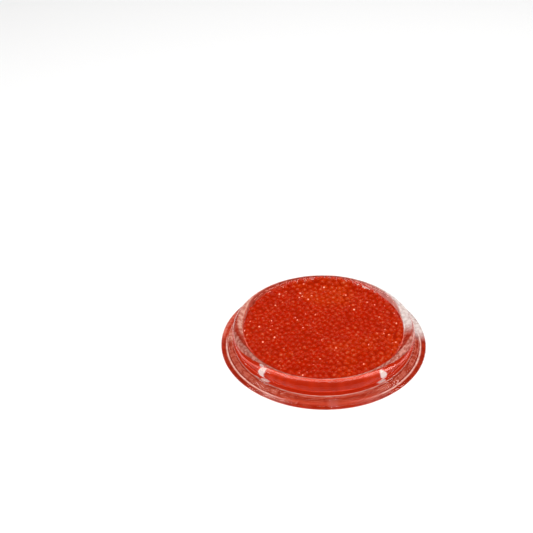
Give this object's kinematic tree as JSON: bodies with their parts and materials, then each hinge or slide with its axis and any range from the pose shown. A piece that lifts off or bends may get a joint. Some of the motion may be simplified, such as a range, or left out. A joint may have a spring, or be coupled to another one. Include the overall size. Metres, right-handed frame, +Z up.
{
  "type": "dish of salmon roe",
  "caption": "Shallow round clear glass dish with a wide foot flange and a thick rounded rim, heaped to the rim with glossy red salmon roe.",
  "frame": {"origin": "centre of the flat face that the dish rests on", "axes": "+Z up along the dish's own axis, which is also its shortest extent; +Y towards the side where the roe lies a little higher"},
  "size_m": [0.112, 0.112, 0.0137],
  "materials": {
    "clear_glass": "thick clear pressed glass, polished",
    "roe": "moist, glossy, translucent grains"
  },
  "bodies": {
    "root": {"glass_dish": "clear_glass", "salmon_roe": "roe"}
  },
  "joints": []
}
